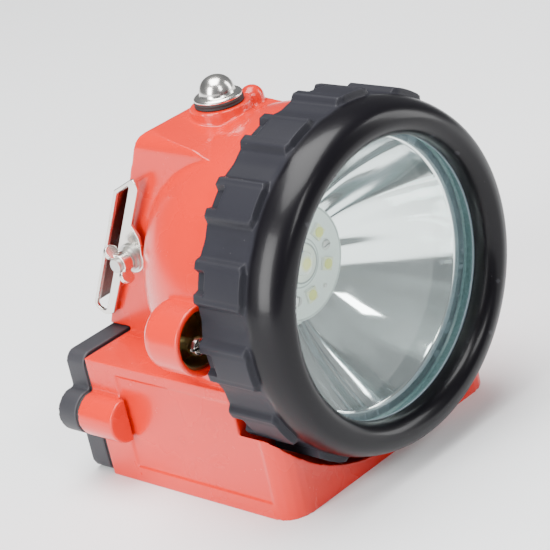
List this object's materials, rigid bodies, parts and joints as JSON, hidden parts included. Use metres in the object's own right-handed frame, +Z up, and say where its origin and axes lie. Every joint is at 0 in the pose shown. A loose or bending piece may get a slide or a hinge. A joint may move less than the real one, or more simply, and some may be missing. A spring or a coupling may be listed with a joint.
{
  "type": "miner's cap lamp",
  "caption": "Cordless miner's cap lamp: round head with knurled screw ring, glass and reflector on a battery box, top button, ring lock and helmet clip.",
  "frame": {"origin": "middle of the flat base, on the surface the lamp stands on", "axes": "+X right seen from the front, -Y the way the lamp shines, +Z up"},
  "size_m": [0.0804, 0.0733, 0.0817],
  "materials": {
    "red_shell": "glossy moulded orange-red",
    "black_shell": "satin moulded black",
    "black_ring": "semi-gloss moulded black",
    "rubber": "matt black",
    "nickel": "satin nickel plate",
    "steel": "zinc plated",
    "brass": "turned",
    "glass": "clear, green edge",
    "reflector": "vacuum metallised",
    "board_white": "white solder mask",
    "board_green": "green solder mask",
    "led": "yellow phosphor",
    "aluminium": "machined",
    "cell_wrap": "heat-shrink film",
    "foam": "closed-cell foam",
    "wire": "PVC insulation"
  },
  "bodies": {
    "housing": {"body_housing": "red_shell", "lens_seal": "rubber", "rear_cover": "black_shell", "cover_seal": "rubber", "cover_screws": "steel", "cover_inserts": "brass", "bezel_o_ring": "rubber", "reflector": "reflector", "led_board": "board_white", "main_led": "led", "aux_leds": "led", "board_screws": "steel", "heat_sink": "aluminium", "led_leads": "wire", "driver_board": "board_green", "driver_parts": "black_shell", "battery_cells": "cell_wrap", "battery_tray": "black_shell", "protection_board": "board_green", "foam_pad": "foam", "battery_leads": "wire", "button_seal": "rubber", "button_spring": "steel", "tact_switch": "black_shell", "switch_board": "board_green", "clip_bracket": "nickel", "clip_bolt": "steel", "bolt_washers": "steel", "lock_sleeve": "brass", "lock_insert": "brass"},
    "lens": {"lens_glass": "glass", "lens_gasket": "rubber"},
    "ring": {"bezel_ring": "black_ring"},
    "button": {"button_dome": "nickel"},
    "wing_nut": {"wing_nut": "nickel"},
    "lock": {"lock_screw": "nickel", "lock_tab": "nickel"}
  },
  "joints": [
    {"name": "lens_advance", "type": "slide", "parent": "housing", "child": "lens", "axis": [0, -1, 0], "range_m": [0, 0.00451]},
    {"name": "ring_turn", "type": "hinge", "parent": "lens", "child": "ring", "pos_m": [0, -0.0265, 0.041], "axis": [0, -1, 0], "range_deg": [0, 1080]},
    {"name": "button_press", "type": "slide", "parent": "housing", "child": "button", "axis": [0, 0, -1], "range_m": [0, 0.0007], "stiffness_N_per_m": 1500, "springref_m": -0.0005, "deforming": ["button_seal"]},
    {"name": "wing_nut_turn", "type": "hinge", "parent": "housing", "child": "wing_nut", "pos_m": [-0.022, 0.01594, 0.04722], "axis": [-1, 0, 0], "continuous": true},
    {"name": "lock_turn", "type": "hinge", "parent": "housing", "child": "lock", "pos_m": [-0.0348, -0.0185, 0.0394], "axis": [0, -1, 0], "range_deg": [-90, 0]}
  ],
  "couplings": [
    {"joint": "lens_advance", "follows": "ring_turn", "m_per_rad": 0.00023873}
  ]
}
